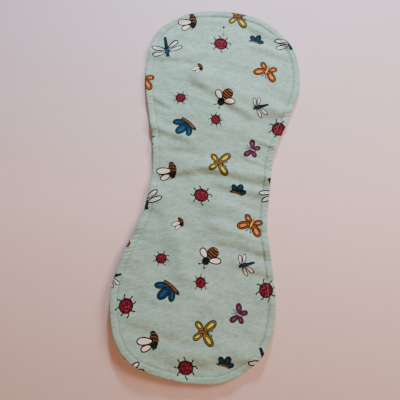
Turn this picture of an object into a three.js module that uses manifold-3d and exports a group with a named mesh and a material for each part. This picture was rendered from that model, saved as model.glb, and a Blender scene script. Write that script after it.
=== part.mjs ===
// Burp cloth: two layers of brushed cotton in an hourglass outline, sewn round the edge, turned
// right side out and topstitched, hung on a wall from one ball-headed pin.
// Millimetres, +Z up. The wall is the plane y = 0 and the viewer stands on the -Y side.
// The origin is the point where the pin goes into the wall.

import * as THREE from 'three';
import { mergeVertices } from 'three/addons/utils/BufferGeometryUtils.js';
import Module from 'manifold-3d';

const wasm = await Module();
wasm.setup();

// The cloth's place: its own frame has X across and Z along it, from its middle
const CLOTH_TILT = THREE.MathUtils.degToRad(7.5);
const PIN_PLACE = { across: -7, along: 217 };

// The two layers, and the rim that the turned-in seam allowance makes thicker
const LAYER_GAP = 0.3;
const LAYER = 1.1;
const STITCH_INSET = 9;
const BODY_INSET = 12.5;
const RIM_PROFILE = [
  { inset: 0.5, thick: 0.9 },
  { inset: 3, thick: 1.7 },
  { inset: 7, thick: 1.6 },
  { inset: STITCH_INSET, thick: 0.9 },
  { inset: BODY_INSET, thick: LAYER },
];

// Half widths of the outline at stations along the cloth, and the points that round its two ends
const STATIONS = [
  { along: 200, left: 97.8, right: 91.6 },
  { along: 150, left: 105, right: 105 },
  { along: 100, left: 96, right: 94.6 },
  { along: 50, left: 81.5, right: 80.5 },
  { along: 0, left: 74.8, right: 79.2 },
  { along: -50, left: 78.4, right: 81.6 },
  { along: -100, left: 93.2, right: 93.6 },
  { along: -150, left: 101.6, right: 102 },
  { along: -200, left: 90.6, right: 92.4 },
];
const TOP_END = [
  { across: -62, along: 233.2 },
  { across: -8, along: 244.8 },
  { across: 49, along: 236.4 },
];
const BOTTOM_END = [
  { across: 55, along: -235.6 },
  { across: 10, along: -244.2 },
  { across: -36, along: -239.8 },
  { across: -70, along: -226.8 },
];
const HALF_LENGTH = 244;
const HALF_WIDTH = 103;

// How the cloth stands off the wall: close at the pin, leaning out towards the foot and the left
const STAND_OFF = 2.1;
const LEAST_STAND_OFF = 2.4;
const FOOT_LEAN = 9;
const LEFT_LEAN = 3;
const CROWN = { height: 3.5, across: 0, along: 125, spreadAcross: 70, spreadAlong: 65 };
const PIN_PULL_RADIUS = 22;
const EDGE_WAVE = { height: 0.9, length: 47, reach: 16 };

// Soft folds, each from one point of the cloth to another: a ridge has a positive height
const FOLDS = [
  { name: 'pull from the pin, right', across0: -3, along0: 219, across1: 38, along1: 222, width: 6, height: -1.4 },
  { name: 'pull from the pin, left', across0: -12, along0: 212, across1: -38, along1: 184, width: 7, height: -1.5 },
  { name: 'dent in the top corner', across0: 54, along0: 214, across1: 68, along1: 208, width: 8, height: -1.8 },
  { name: 'top lobe, right', across0: 32, along0: 196, across1: 84, along1: 194, width: 9, height: 1.6 },
  { name: 'top lobe, left', across0: -98, along0: 169, across1: -30, along1: 178, width: 9, height: 1.8 },
  { name: 'long slant of the top lobe', across0: -36, along0: 146, across1: 66, along1: 116, width: 12, height: 2.8 },
  { name: 'left side, upper', across0: -80, along0: 64, across1: -34, along1: 55, width: 9, height: 2.2 },
  { name: 'right side, upper', across0: 56, along0: 113, across1: 96, along1: 110, width: 7, height: 1.4 },
  { name: 'waist crease', across0: -28, along0: 21, across1: 78, along1: 18, width: 10, height: 3.2 },
  { name: 'waist hollow, left', across0: -72, along0: 0, across1: -36, along1: -2, width: 9, height: -1.8 },
  { name: 'under the waist, right', across0: 28, along0: 4, across1: 72, along1: -10, width: 8, height: 1.4 },
  { name: 'under the waist, middle', across0: -10, along0: -22, across1: 48, along1: -32, width: 9, height: 1.6 },
  { name: 'long fold down the left', across0: -58, along0: -28, across1: -12, along1: -118, width: 12, height: 2.4 },
  { name: 'right side, lower', across0: 20, along0: -54, across1: 86, along1: -68, width: 9, height: 3 },
  { name: 'right side, lowest', across0: 52, along0: -94, across1: 94, along1: -101, width: 8, height: 2 },
  { name: 'foot lobe, left', across0: -66, along0: -177, across1: -10, along1: -178, width: 10, height: 1.4 },
  { name: 'foot lobe, middle', across0: -3, along0: -160, across1: 26, along1: -138, width: 10, height: 1.4 },
  { name: 'foot lobe, right', across0: 42, along0: -193, across1: 92, along1: -199, width: 9, height: 1.2 },
];
const FOLD_END_FADE = 1.6;

// The pin, and the hole that it makes in the cloth
const PIN = { radius: 0.35, headRadius: 1.6, headCentre: -9.5, tip: 18, taper: 3, sides: 10 };
const HEAD_SOCKET = { radius: 0.65, bottom: -0.6, play: 0.3 };
const PIN_HOLE = { radius: 0.65, length: 40, sides: 12 };

// Mesh steps: points on each span of the outline, and rings from the rim to the middle line
const SPAN_STEPS = 6;
const BODY_RINGS = 8;

const COLOURS = {
  print: 0xa3b5ac,
  plain: 0xa9bab1,
  steel: 0xb4b4b8,
  head: 0x17161a,
};

function outlineSamples() {
  const rightSide = STATIONS.map((row) => new THREE.Vector3(row.right, 0, row.along));
  const leftSide = STATIONS.map((row) => new THREE.Vector3(-row.left, 0, row.along)).reverse();
  const bottom = BOTTOM_END.map((row) => new THREE.Vector3(row.across, 0, row.along));
  const top = TOP_END.map((row) => new THREE.Vector3(row.across, 0, row.along));
  const corners = [...rightSide, ...bottom, ...leftSide, ...top];
  const curve = new THREE.CatmullRomCurve3(corners, true, 'centripetal');
  const count = corners.length * SPAN_STEPS;
  return Array.from({ length: count }, (_, i) => curve.getPoint(i / count));
}

function moveIn(samples, inset) {
  const count = samples.length;
  return samples.map((point, i) => {
    const before = samples[(i + count - 1) % count];
    const after = samples[(i + 1) % count];
    const along = after.clone().sub(before).normalize();
    return new THREE.Vector3(point.x + along.z * inset, 0, point.z - along.x * inset);
  });
}

// The sides between the lobes run to a middle line, and each end runs to that line's last point
function middleLine(innerRing) {
  const count = innerRing.length;
  const firstRight = SPAN_STEPS;
  const steps = (STATIONS.length - 3) * SPAN_STEPS;
  const firstLeft = count - (TOP_END.length + 2) * SPAN_STEPS;
  const points = [];
  for (let j = 0; j <= steps; j += 1) {
    const right = innerRing[firstRight + j];
    const left = innerRing[firstLeft - j];
    points.push(right.clone().add(left).multiplyScalar(0.5));
  }
  const indexOf = (i) => {
    if (i <= firstRight || i >= firstLeft) return 0;
    if (i < firstRight + steps) return i - firstRight;
    if (i <= firstLeft - steps) return steps;
    return firstLeft - i;
  };
  return { points, indexOf };
}

function foldHeight(across, along, fold) {
  const runAcross = fold.across1 - fold.across0;
  const runAlong = fold.along1 - fold.along0;
  const length = Math.hypot(runAcross, runAlong);
  const fromStart = ((across - fold.across0) * runAcross + (along - fold.along0) * runAlong) / length;
  const offLine = ((across - fold.across0) * runAlong - (along - fold.along0) * runAcross) / length;
  const past = Math.max(0, -fromStart, fromStart - length);
  const fade = past / (FOLD_END_FADE * fold.width);
  return fold.height * Math.exp(-((offLine / fold.width) ** 2) - fade ** 2);
}

// Distance from the wall to the middle of the two layers
function standOff(across, along) {
  const drop = Math.max(0, (PIN_PLACE.along - along) / (PIN_PLACE.along + HALF_LENGTH));
  let out = FOOT_LEAN * drop ** 2 - (LEFT_LEAN * drop * across) / HALF_WIDTH;
  const crownAcross = (across - CROWN.across) / CROWN.spreadAcross;
  const crownAlong = (along - CROWN.along) / CROWN.spreadAlong;
  out += CROWN.height * Math.exp(-(crownAcross ** 2) - crownAlong ** 2);
  for (const fold of FOLDS) out += foldHeight(across, along, fold);
  const fromPin = Math.hypot(across - PIN_PLACE.across, along - PIN_PLACE.along);
  const free = 1 - Math.exp(-((fromPin / PIN_PULL_RADIUS) ** 2));
  return Math.max(LEAST_STAND_OFF, STAND_OFF + out * free);
}

// The sewn edge ripples a little, more on the drawn-in sides than round the lobes
function edgeWave(run, inset, point) {
  const reach = Math.exp(-((inset / EDGE_WAVE.reach) ** 2));
  const side = Math.exp(-((point.z / HALF_LENGTH) ** 4) * 6);
  const turn = (2 * Math.PI * run) / EDGE_WAVE.length;
  return EDGE_WAVE.height * reach * (0.35 + side) * Math.sin(turn + 1.3 * Math.sin(turn * 0.37));
}

function clothRings() {
  const edge = outlineSamples();
  const runs = [0];
  for (let i = 1; i < edge.length; i += 1) runs.push(runs[i - 1] + edge[i].distanceTo(edge[i - 1]));
  const insets = [0, ...RIM_PROFILE.map((row) => row.inset)];
  const rim = insets.map((inset) => moveIn(edge, inset));
  const innerRing = rim[rim.length - 1];
  const middle = middleLine(innerRing);
  const rings = rim.map((ring, r) => ({ points: ring, inset: insets[r] }));
  for (let k = 1; k < BODY_RINGS; k += 1) {
    const share = k / BODY_RINGS;
    const points = innerRing.map((point, i) => point.clone().lerp(middle.points[middle.indexOf(i)], share));
    rings.push({ points, inset: BODY_INSET + (HALF_WIDTH - BODY_INSET) * share });
  }
  const least = LEAST_STAND_OFF;
  for (const ring of rings) {
    ring.depths = ring.points.map((p, i) => {
      const wave = edgeWave(runs[i], ring.inset, p);
      return Math.max(least, standOff(p.x, p.z) + wave);
    });
  }
  const middleDepths = middle.points.map((p) => standOff(p.x, p.z));
  return { rings, middle, middleDepths };
}

// One layer as a closed solid. side is -1 for the front layer and +1 for the back one.
function layerGeometry({ rings, middle, middleDepths }, side) {
  const count = rings[0].points.length;
  const thickness = [0, ...RIM_PROFILE.map((row) => row.thick)];
  const positions = [];
  const triangles = [];

  const addFace = (ringNumbers, isOuter) => {
    const rows = ringNumbers.map((r) => {
      const ring = rings[r];
      const thick = isOuter ? (thickness[r] ?? LAYER) : 0;
      const first = positions.length / 3;
      ring.points.forEach((p, i) => {
        positions.push(p.x, -ring.depths[i] + side * (LAYER_GAP / 2 + thick), p.z);
      });
      return (i) => first + (i % count);
    });
    const firstMiddle = positions.length / 3;
    middle.points.forEach((p, j) => {
      const thick = isOuter ? LAYER : 0;
      positions.push(p.x, -middleDepths[j] + side * (LAYER_GAP / 2 + thick), p.z);
    });
    rows.push((i) => firstMiddle + middle.indexOf(i % count));
    const facesViewer = (side < 0) === isOuter;
    for (let r = 0; r + 1 < rows.length; r += 1) {
      for (let i = 0; i < count; i += 1) {
        const a = rows[r](i);
        const b = rows[r](i + 1);
        const c = rows[r + 1](i + 1);
        const d = rows[r + 1](i);
        const pair = facesViewer ? [[a, d, c], [a, c, b]] : [[a, c, d], [a, b, c]];
        for (const triangle of pair) {
          if (new Set(triangle).size === 3) triangles.push(...triangle);
        }
      }
    }
  };

  const all = rings.map((_, r) => r);
  const stitchRing = RIM_PROFILE.findIndex((row) => row.inset === STITCH_INSET) + 1;
  addFace(all, true);
  addFace([0, ...all.slice(stitchRing)], false);
  const geometry = new THREE.BufferGeometry();
  geometry.setAttribute('position', new THREE.Float32BufferAttribute(positions, 3));
  geometry.setIndex(triangles);
  return mergeVertices(geometry, 1e-4);
}

function asSolid(geometry) {
  const merged = geometry.clone();
  merged.deleteAttribute('normal');
  merged.deleteAttribute('uv');
  const welded = mergeVertices(merged, 1e-4);
  return new wasm.Manifold(new wasm.Mesh({
    numProp: 3,
    vertProperties: new Float32Array(welded.attributes.position.array),
    triVerts: new Uint32Array(welded.index.array),
  }));
}

function asGeometry(solid) {
  const mesh = solid.getMesh();
  const geometry = new THREE.BufferGeometry();
  geometry.setAttribute('position', new THREE.Float32BufferAttribute(mesh.vertProperties, 3));
  geometry.setIndex(Array.from(mesh.triVerts));
  geometry.computeVertexNormals();
  return geometry;
}

function cutPinHole(geometry) {
  const cutter = new THREE.CylinderGeometry(PIN_HOLE.radius, PIN_HOLE.radius, PIN_HOLE.length, PIN_HOLE.sides);
  cutter.translate(PIN_PLACE.across, 0, PIN_PLACE.along);
  return asGeometry(asSolid(geometry).subtract(asSolid(cutter)));
}

function pinShaft() {
  const start = PIN.headCentre + HEAD_SOCKET.bottom + HEAD_SOCKET.play;
  const profile = [
    new THREE.Vector2(0, start),
    new THREE.Vector2(PIN.radius, start),
    new THREE.Vector2(PIN.radius, PIN.tip - PIN.taper),
    new THREE.Vector2(0, PIN.tip),
  ];
  return new THREE.LatheGeometry(profile, PIN.sides);
}

// The ball has a blind socket for the shaft on the side that faces the cloth
function pinHead() {
  const arcSteps = 10;
  const mouthAngle = Math.PI - Math.asin(HEAD_SOCKET.radius / PIN.headRadius);
  const profile = [];
  for (let k = 0; k <= arcSteps; k += 1) {
    const angle = (mouthAngle * k) / arcSteps;
    profile.push(new THREE.Vector2(PIN.headRadius * Math.sin(angle), -PIN.headRadius * Math.cos(angle)));
  }
  profile.push(new THREE.Vector2(HEAD_SOCKET.radius, HEAD_SOCKET.bottom));
  profile.push(new THREE.Vector2(0, HEAD_SOCKET.bottom));
  profile[0].x = 0;
  const geometry = new THREE.LatheGeometry(profile, 2 * PIN.sides);
  geometry.translate(0, PIN.headCentre, 0);
  return geometry;
}

function named(name, geometry, finish) {
  const mesh = new THREE.Mesh(geometry, new THREE.MeshStandardMaterial(finish));
  mesh.name = name;
  return mesh;
}

const layers = clothRings();
const flannel = { roughness: 0.95, metalness: 0 };

const cloth = new THREE.Group();
cloth.rotation.y = CLOTH_TILT;
cloth.position.set(-PIN_PLACE.across, 0, -PIN_PLACE.along).applyAxisAngle(new THREE.Vector3(0, 1, 0), CLOTH_TILT);
cloth.add(named('front_panel', cutPinHole(layerGeometry(layers, -1)), { color: COLOURS.print, ...flannel }));
cloth.add(named('back_panel', cutPinHole(layerGeometry(layers, 1)), { color: COLOURS.plain, ...flannel }));

const burpCloth = new THREE.Group();
burpCloth.add(cloth);
burpCloth.add(named('pin_shaft', pinShaft(), { color: COLOURS.steel, roughness: 0.3, metalness: 1 }));
burpCloth.add(named('pin_head', pinHead(), { color: COLOURS.head, roughness: 0.2, metalness: 0 }));

export default burpCloth;
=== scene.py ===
# A burp cloth of brushed cotton, hung on a wall from one ball-headed pin: a front layer printed with
# insects, a plain back layer, a topstitched rim, and the pin. Sizes are in millimetres until a mesh is made.
import math

import bpy
import numpy as np
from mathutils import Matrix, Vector, noise
from mathutils.geometry import delaunay_2d_cdt


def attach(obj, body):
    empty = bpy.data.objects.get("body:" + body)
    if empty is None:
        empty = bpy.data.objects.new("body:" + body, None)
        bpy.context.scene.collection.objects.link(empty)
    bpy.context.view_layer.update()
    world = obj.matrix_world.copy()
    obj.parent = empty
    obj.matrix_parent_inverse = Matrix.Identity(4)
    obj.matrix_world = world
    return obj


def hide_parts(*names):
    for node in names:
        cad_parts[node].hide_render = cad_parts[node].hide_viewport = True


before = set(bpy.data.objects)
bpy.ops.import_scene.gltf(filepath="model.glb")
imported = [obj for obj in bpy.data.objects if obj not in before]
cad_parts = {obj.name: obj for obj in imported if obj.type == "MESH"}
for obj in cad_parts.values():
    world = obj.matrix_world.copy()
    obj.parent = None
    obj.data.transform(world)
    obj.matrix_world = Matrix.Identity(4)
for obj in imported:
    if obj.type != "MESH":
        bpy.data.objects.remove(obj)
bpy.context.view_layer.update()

MM = 0.001

# The camera of the photograph: 400 pixels wide, level but pitched up, with the pin at one known pixel
IMAGE_SIZE = 400
LENS_PIXELS = 400
CAMERA_PITCH = math.radians(9.2)
CAMERA_FROM_WALL = 511
PIN_PIXEL = (223.5, 30.0)
PIN_FRONT = 3.4

# The cloth's place on the wall
CLOTH_TILT = math.radians(7.5)
PIN_PLACE = (-7.0, 217.0)

# The two layers: thicknesses, insets from the edge, and sizes on the flat cloth
LAYER_GAP = 0.3
LAYER = 1.1
RIM_THICK = 2.1
RIM_ROLL = 2.1
STITCH_INSET = 9.0
GROOVE = {"depth": 0.85, "width": 1.5}
# How far the painted shade along the stitched groove reaches from the stitches
PAINTED_GROOVE_SHADE_WIDTH = 1.1
RIM_EASE = (7.0, 12.5)
FLAT_WIDTH = 210.0
FLAT_LENGTH = 489.0
HALF_LENGTH = 244.0
HALF_WIDTH = 103.0

# Stations along the cloth with the half widths there, and the points that round the ends
STATIONS = [
    # along, left, right
    (200, 97.8, 91.6),
    (150, 105, 105),
    (100, 96, 94.6),
    (50, 81.5, 80.5),
    (0, 74.8, 79.2),
    (-50, 78.4, 81.6),
    (-100, 93.2, 93.6),
    (-150, 101.6, 102),
    (-200, 90.6, 92.4),
]
TOP_END = [(-62, 233.2), (-8, 244.8), (49, 236.4)]
BOTTOM_END = [(55, -235.6), (10, -244.2), (-36, -239.8), (-70, -226.8)]

# How the cloth stands off the wall
STAND_OFF = 2.1
LEAST_STAND_OFF = 2.4
TOUCHING = 1.9
FOOT_LEAN = 9.0
LEFT_LEAN = 3.0
CROWN = {"height": 3.5, "across": 0.0, "along": 125.0, "spread_across": 70.0, "spread_along": 65.0}
TOUCH_SHARPNESS = 3.0
PIN_PULL_RADIUS = 22.0
PIN_DIMPLE = {"depth": 0.7, "radius": 2.2}
EDGE_WAVE = {"height": 0.9, "length": 47.0, "reach": 16.0, "at_ends": 0.35, "end_fade": 6.0,
             "shift": 1.3, "shift_rate": 0.37}

# Soft folds, each from one point of the cloth to another: a ridge has a positive height
FOLD_END_FADE = 1.6
FOLDS = [
    # across, along, to across, to along, width, height
    (-3, 219, 38, 222, 6, -1.4),
    (-12, 212, -38, 184, 7, -1.5),
    (54, 214, 68, 208, 8, -1.8),
    (32, 196, 84, 194, 9, 1.6),
    (-98, 169, -30, 178, 9, 1.8),
    (-36, 146, 66, 116, 12, 2.8),
    (-80, 64, -34, 55, 9, 2.2),
    (56, 113, 96, 110, 7, 1.4),
    (-28, 21, 78, 18, 10, 3.2),
    (-72, 0, -36, -2, 9, -1.8),
    (28, 4, 72, -10, 8, 1.4),
    (-10, -22, 48, -32, 9, 1.6),
    (-58, -28, -12, -118, 12, 2.4),
    (20, -54, 86, -68, 9, 3.0),
    (52, -94, 94, -101, 8, 2.0),
    (-66, -177, -10, -178, 10, 1.4),
    (-3, -160, 26, -138, 10, 1.4),
    (42, -193, 92, -199, 9, 1.2),
]

# Sharper creases in the same terms: above the line the cloth stands out, below it the cloth falls back
CREASE_STEEPNESS = 1.6
CREASES = [
    # across, along, to across, to along, width, height
    (-69, -1, -4, 16, 6.6, 1.3),
    (-4, 16, 70, 10, 7.5, 1.6),
    (54, 19, 76, 15, 3, 0.7),
    (-34, 132, 12, 110, 7.2, 1.5),
    (9, 110, 40, 96, 6.6, 1.7),
    (32, 196, 76, 185, 6, 1.0),
    (20, 225, 74, 205, 6.6, 2.1),
    (-40, 224, 4, 226, 5, 1.1),
    (-96, 172, -70, 194, 8, 1.8),
    (-82, 162, -50, 164, 6, 1.2),
    (-84, 103, -68, 95, 4.8, 1),
    (-73, 61, -36, 53, 6, 1.4),
    (-68, 37, -25, 41, 6, 1.3),
    (13, -2, 60, -8, 6.6, 1.5),
    (6, -40, 49, -48, 6.6, 0.9),
    (27, -75, 76, -82, 7.2, 1.8),
    (54, -104, 87, -108, 6, 1.0),
    (-58, -188, -8, -196, 9, 1.1),
    (-58, -154, -36, -160, 8, 0.9),
    (-4, -221, 72, -213, 12, 2.8),
    (60, 98, 92, 104, 8, 1.4),
    (83, 102, 96, 112, 4.8, 1.2),
    (49, 65, 74, 58, 4.2, 1),
    (44, 38, 77, 28, 4.2, 1.2),
]

# The foot's lower edge curls towards the wall: a trough in the same terms as a fold
FOOT_CURL = (-24, -250, 66, -246, 24, -3.4)

# The small unevenness that washed cotton keeps
SLACK = [
    # size across, size along, slant, height, slice of the noise
    (26, 17, 0.0, 0.75, 3.1),
    (24, 7, 0.1, 0.55, 5.7),
    (9, 5.5, 0.0, 0.3, 8.4),
]

# Puckers that the stitching draws up across the rim, strongest where the edge curves inwards
PUCKER_PITCH = 5.4
PUCKER_EVERYWHERE = 0.12
PUCKER_MIDDLE = 4.6
PUCKER_REACH = 3.4
PUCKER_DIRECTION = (0.94, 0.34)
PUCKER_LEAN = 1.6
PUCKER_WANDER = [
    # phase, length, start
    (2.4, 21.0, 0.0),
    (1.5, 8.3, 1.0),
]
PUCKER_SWELL = {"share": 0.3, "length": 12.7, "start": 0.6}
PUCKERS = [
    # across, along, reach, height
    (80, 58, 30, 0.75),
    (94, 106, 12, 0.35),
    (79, 10, 30, 0.25),
    (-84, -84, 30, 0.85),
    (-76, -36, 22, 0.25),
    (-90, 96, 24, 0.35),
    (-78, 40, 26, 0.3),
    (90, -92, 24, 0.3),
    (88, -208, 16, 0.4),
]

# Mesh steps
EDGE_POINTS = 1400
RING_INSETS = [0.1, 0.3, 0.7, 1.3, 2.1, 3.2, 4.6, 6.0, 7.2, 8.0, 8.6, 9.0, 9.4, 10.0, 10.9, 12.2, 13.8]
HELD_RINGS = 3
GRID_STEP = 2.3
GRID_INSET = 15.2
INNER_STEP = 8.0
INNER_INSET = 5.6
MEASURE_BATCH = 4000
SPLINE_STEPS = 40
PRINT_CLEARANCE = 0.45
BAKE_MARGIN = 6.0
ONLY_INSIDE = 1           # the kind of result that is asked of delaunay_2d_cdt
OUTER_SNAP = 1e-5
HIDDEN_SNAP = 1e-7


def smooth_step(low, high, value):
    share = np.clip((value - low) / (high - low), 0.0, 1.0)
    return share * share * (3.0 - 2.0 * share)


def add_object(name, data):
    made = bpy.data.objects.new(name, data)
    bpy.context.collection.objects.link(made)
    return made


# The outline


def spline_through(corners, steps):
    """A closed centripetal Catmull-Rom spline."""
    count = len(corners)
    points = []
    for i in range(count):
        before, start, end, after = (corners[(i + k) % count] for k in (-1, 0, 1, 2))
        pairs = ((before, start), (start, end), (end, after))
        first, middle, last = (np.linalg.norm(q - p) ** 0.5 for p, q in pairs)
        straight = (end - start) / middle
        leave = ((start - before) / first - (end - before) / (first + middle) + straight) * middle
        arrive = (straight - (after - start) / (middle + last) + (after - end) / last) * middle
        for k in range(steps):
            t = k / steps
            square = -3 * start + 3 * end - 2 * leave - arrive
            cube = 2 * start - 2 * end + leave + arrive
            points.append(start + leave * t + square * t * t + cube * t ** 3)
    return np.array(points)


def even_steps(loop, count):
    """The closed loop again, with its points evenly apart, and its length."""
    closed = np.vstack([loop, loop[:1]])
    runs = np.concatenate([[0.0], np.cumsum(np.linalg.norm(np.diff(closed, axis=0), axis=1))])
    wanted = np.linspace(0.0, runs[-1], count, endpoint=False)
    points = np.column_stack([np.interp(wanted, runs, closed[:, k]) for k in (0, 1)])
    return points, float(runs[-1])


def make_edge():
    right = [(row[2], row[0]) for row in STATIONS]
    left = [(-row[1], row[0]) for row in reversed(STATIONS)]
    corners = np.array(right + BOTTOM_END + left + TOP_END, float)
    return even_steps(spline_through(corners, SPLINE_STEPS), EDGE_POINTS)


EDGE, EDGE_LENGTH = make_edge()
EDGE_RUNS = np.arange(EDGE_POINTS) * EDGE_LENGTH / EDGE_POINTS
TANGENTS = np.roll(EDGE, -1, axis=0) - np.roll(EDGE, 1, axis=0)
TANGENTS /= np.linalg.norm(TANGENTS, axis=1)[:, None]
INWARD = np.column_stack([TANGENTS[:, 1], -TANGENTS[:, 0]])

# The puckers lie level rather than square to the edge, so their phase shifts with the inset
LEANS = -PUCKER_LEAN * (TANGENTS @ PUCKER_DIRECTION) * (INWARD @ PUCKER_DIRECTION)


def measure_to_edge(points):
    """For each point, how far it lies inside the edge, and where along the edge that is."""
    insets = np.empty(len(points))
    runs = np.empty(len(points))
    for start in range(0, len(points), MEASURE_BATCH):
        batch = slice(start, start + MEASURE_BATCH)
        gaps = ((points[batch, None, :] - EDGE[None, :, :]) ** 2).sum(axis=2)
        nearest = gaps.argmin(axis=1)
        offset = points[batch] - EDGE[nearest]
        insets[batch] = (offset * INWARD[nearest]).sum(axis=1)
        runs[batch] = EDGE_RUNS[nearest] + (offset * TANGENTS[nearest]).sum(axis=1)
    return insets, runs


# The surface


def across_line(points, row):
    """How far each point lies above a fold's line and how far past its ends, in fold widths."""
    across0, along0, across1, along1, width, _ = row
    run = np.array([across1 - across0, along1 - along0], float)
    length = np.hypot(*run)
    offset = points - (across0, along0)
    from_start = offset @ run / length
    above = (offset[:, 1] * run[0] - offset[:, 0] * run[1]) / length
    past = np.maximum(0.0, np.maximum(-from_start, from_start - length))
    return above / width, past / (FOLD_END_FADE * width)


def fold_height(points, row):
    above, past = across_line(points, row)
    return row[5] * np.exp(-above ** 2 - past ** 2)


def crease_height(points, row):
    above, past = across_line(points, row)
    return row[5] * CREASE_STEEPNESS * above * np.exp(-above ** 2 - past ** 2)


def edge_wave(insets, runs, along):
    """The edge waves most along the two sides and least round the ends."""
    reach = np.exp(-(insets / EDGE_WAVE["reach"]) ** 2)
    side = np.exp(-EDGE_WAVE["end_fade"] * (along / HALF_LENGTH) ** 4)
    turn = 2 * math.pi * runs / EDGE_WAVE["length"]
    shift = EDGE_WAVE["shift"] * np.sin(EDGE_WAVE["shift_rate"] * turn)
    return EDGE_WAVE["height"] * reach * (EDGE_WAVE["at_ends"] + side) * np.sin(turn + shift)


def stand_off(points, insets, runs):
    """Distance from the wall to the middle of the two layers."""
    across, along = points[:, 0], points[:, 1]
    drop = np.maximum(0.0, (PIN_PLACE[1] - along) / (PIN_PLACE[1] + HALF_LENGTH))
    out = FOOT_LEAN * drop ** 2 - LEFT_LEAN * drop * across / HALF_WIDTH
    crown = ((across - CROWN["across"]) / CROWN["spread_across"]) ** 2
    crown += ((along - CROWN["along"]) / CROWN["spread_along"]) ** 2
    out += CROWN["height"] * np.exp(-crown)
    for row in FOLDS:
        out += fold_height(points, row)
    from_pin = np.hypot(across - PIN_PLACE[0], along - PIN_PLACE[1])
    free = 1 - np.exp(-(from_pin / PIN_PULL_RADIUS) ** 2)
    out = np.maximum(LEAST_STAND_OFF, STAND_OFF + out * free)
    return np.maximum(LEAST_STAND_OFF, out + edge_wave(insets, runs, along))


def pucker_height(points, insets, runs):
    strength = np.full(len(points), PUCKER_EVERYWHERE)
    for across, along, reach, height in PUCKERS:
        away = ((points[:, 0] - across) ** 2 + (points[:, 1] - along) ** 2) / reach ** 2
        strength += height * np.exp(-away)
    lean = np.interp(runs, EDGE_RUNS, LEANS) * (insets - PUCKER_MIDDLE)
    turn = 2 * math.pi * (runs + lean) / PUCKER_PITCH
    wander = sum(phase * np.sin(runs / length + start) for phase, length, start in PUCKER_WANDER)
    swell = np.sin(runs / PUCKER_SWELL["length"] + PUCKER_SWELL["start"])
    uneven = 1 - PUCKER_SWELL["share"] + PUCKER_SWELL["share"] * swell
    band = np.exp(-((insets - PUCKER_MIDDLE) / PUCKER_REACH) ** 2)
    return strength * uneven * band * np.sin(turn + wander)


def slack_height(points):
    heights = np.zeros(len(points))
    for wide, long, slant, height, layer in SLACK:
        spots = ((across / wide, (along + slant * across) / long, layer) for across, along in points)
        heights += height * np.array([noise.noise(Vector(spot)) for spot in spots])
    return heights


def layer_thickness(insets):
    """From the seam at the edge, over the thicker rim and the stitched groove, to the single cloth."""
    roll = np.clip(insets / RIM_ROLL, 0.0, 1.0)
    rise = np.sqrt(np.maximum(0.0, 1.0 - (1.0 - roll) ** 2))
    body = RIM_THICK + (LAYER - RIM_THICK) * smooth_step(RIM_EASE[0], RIM_EASE[1], insets)
    groove = GROOVE["depth"] * np.exp(-((insets - STITCH_INSET) / GROOVE["width"]) ** 2)
    return rise * (body - groove)


def pin_dimple(points):
    away = np.hypot(points[:, 0] - PIN_PLACE[0], points[:, 1] - PIN_PLACE[1])
    return -PIN_DIMPLE["depth"] * np.exp(-(away / PIN_DIMPLE["radius"]) ** 2)


def on_wall(points, depths):
    """Points of the flat cloth as they hang, in metres in the shared frame."""
    across = points[:, 0] - PIN_PLACE[0]
    along = points[:, 1] - PIN_PLACE[1]
    x = across * math.cos(CLOTH_TILT) + along * math.sin(CLOTH_TILT)
    z = along * math.cos(CLOTH_TILT) - across * math.sin(CLOTH_TILT)
    return np.column_stack([x, -depths, z]) * MM


def middle_depth(points, insets, runs):
    """Distance from the wall to the middle of the two layers, with the fine relief."""
    fine = slack_height(points) + pin_dimple(points) + fold_height(points, FOOT_CURL)
    for row in CREASES:
        fine += crease_height(points, row)
    depth = stand_off(points, insets, runs) + fine + pucker_height(points, insets, runs)
    return TOUCHING + np.logaddexp(0.0, (depth - TOUCHING) * TOUCH_SHARPNESS) / TOUCH_SHARPNESS


def surface(points, side, hidden=False):
    """The outer or the hidden face of a layer. side is -1 for the front layer and +1 for the back one."""
    insets, runs = measure_to_edge(points)
    insets = np.maximum(insets, 0.0)
    thickness = 0.0 if hidden else layer_thickness(insets)
    return on_wall(points, middle_depth(points, insets, runs) - side * (LAYER_GAP / 2 + thickness))


# The print: every insect is drawn here from eggs, ovals and strokes, in millimetres on the flat cloth

PRINT_COLOURS = {
    # colour name: sRGB, 0 to 255
    "ink": (14, 12, 13),
    "brown_line": (46, 24, 32),
    "wing": (240, 214, 208),
    "wing_shade": (206, 166, 156),
    "bee_dark": (34, 16, 12),
    "bee_orange": (160, 84, 34),
    "tan": (118, 68, 34),
    "leg": (22, 36, 36),
    "red_line": (44, 6, 14),
    "red": (98, 10, 32),
    "red_light": (144, 32, 60),
    "rust_line": (38, 14, 8),
    "rust": (152, 72, 28),
    "orange": (214, 126, 66),
    "body_yellow": (222, 178, 66),
    "olive_line": (34, 22, 10),
    "olive": (132, 108, 42),
    "yellow": (222, 188, 76),
    "plum_line": (46, 16, 40),
    "plum": (88, 26, 70),
    "plum_light": (122, 48, 96),
    "navy_line": (8, 20, 34),
    "blue": (14, 52, 86),
    "blue_light": (20, 72, 114),
    "teal": (12, 42, 62),
    "teal_light": (16, 58, 84),
    "lilac": (222, 212, 226),
}


def heading(angle):
    """One step on the page at angle, in degrees clockwise from straight up."""
    turn = math.radians(angle)
    return np.array([math.sin(turn), math.cos(turn)])


def spun(points, angle):
    """The points turned about the origin, by angle in degrees, counter-clockwise."""
    turn = math.radians(angle)
    return points @ np.array([[math.cos(turn), math.sin(turn)], [-math.sin(turn), math.cos(turn)]])


def oval(centre, size, turn=0.0, count=22):
    angles = np.linspace(0, 2 * math.pi, count, endpoint=False)
    points = np.column_stack([np.cos(angles) * size[0] / 2, np.sin(angles) * size[1] / 2])
    return spun(points, turn) + centre


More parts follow.
